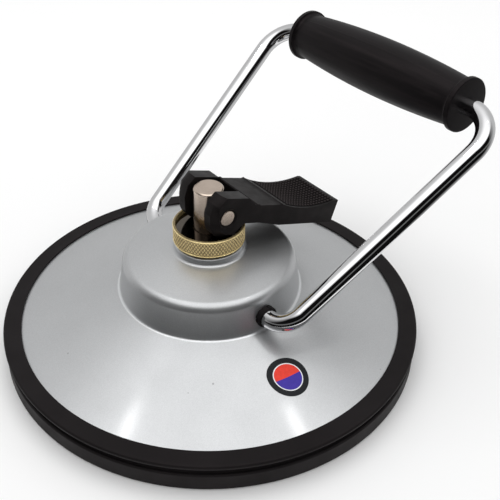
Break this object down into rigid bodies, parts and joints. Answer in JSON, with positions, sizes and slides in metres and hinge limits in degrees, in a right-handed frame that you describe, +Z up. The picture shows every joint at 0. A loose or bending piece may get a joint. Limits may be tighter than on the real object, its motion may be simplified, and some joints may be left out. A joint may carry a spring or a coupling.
{
  "type": "suction cup lifter",
  "caption": "Hand suction lifter: round rubber pad under a metal dish, drawn up by a forked cam lever on a pull rod, with a knurled adjusting collar and a swinging wire bail with a grip.",
  "frame": {"origin": "centre of the pad's sealing plane", "axes": "+Z up along the pull rod, +X the way the lever and the leaning bail point, Y along the lever's and the bail's pivots"},
  "size_m": [0.2181, 0.2008, 0.1269],
  "materials": {
    "silver_paint": "fine metallic satin",
    "pad_rubber": "matte moulded",
    "collar_brass": "turned and knurled",
    "bearing_bronze": "bored",
    "polished_steel": "polished, browned",
    "plated_rod": "warm nickel plate, turned",
    "plain_steel": "zinc plated",
    "lever_black": "satin moulded",
    "bail_chrome": "bright chrome",
    "grip_rubber": "satin moulded"
  },
  "bodies": {
    "cup": {"dish": "silver_paint", "rubber_pad": "pad_rubber", "hub_bush": "plain_steel", "bail_grommet_near": "pad_rubber", "bail_grommet_far": "pad_rubber"},
    "seat": {"cam_washer": "polished_steel"},
    "collar": {"collar": "collar_brass", "guide_sleeve": "bearing_bronze"},
    "rod": {"pull_rod": "plated_rod", "pull_plate": "plain_steel", "jam_nut": "plain_steel"},
    "lever": {"lever": "lever_black", "lever_pin": "plated_rod"},
    "bail": {"bail": "bail_chrome", "grip": "grip_rubber", "end_washer_near": "plain_steel", "end_washer_far": "plain_steel", "end_clip_near": "plain_steel", "end_clip_far": "plain_steel"}
  },
  "joints": [
    {"name": "collar_rise", "type": "slide", "parent": "cup", "child": "seat", "axis": [0, 0, 1], "range_m": [-0.001, 0.0015], "deforming": ["rubber_pad"]},
    {"name": "collar_turn", "type": "hinge", "parent": "seat", "child": "collar", "pos_m": [0, 0, 0.0585], "axis": [0, 0, 1], "range_deg": [-240, 360]},
    {"name": "pull_stroke", "type": "slide", "parent": "seat", "child": "rod", "axis": [0, 0, 1], "range_m": [-0.004, 0], "deforming": ["rubber_pad"]},
    {"name": "lever_turn", "type": "hinge", "parent": "rod", "child": "lever", "pos_m": [0, 0, 0.0726], "axis": [0, -1, 0], "range_deg": [0, 90]},
    {"name": "bail_swing", "type": "hinge", "parent": "cup", "child": "bail", "pos_m": [0, 0, 0.0356], "axis": [0, -1, 0], "range_deg": [-42, 148]}
  ],
  "couplings": [
    {"joint": "collar_turn", "follows": "collar_rise", "rad_per_m": 4188.8},
    {"joint": "lever_turn", "follows": "pull_stroke", "rad_per_m": -392.7}
  ]
}
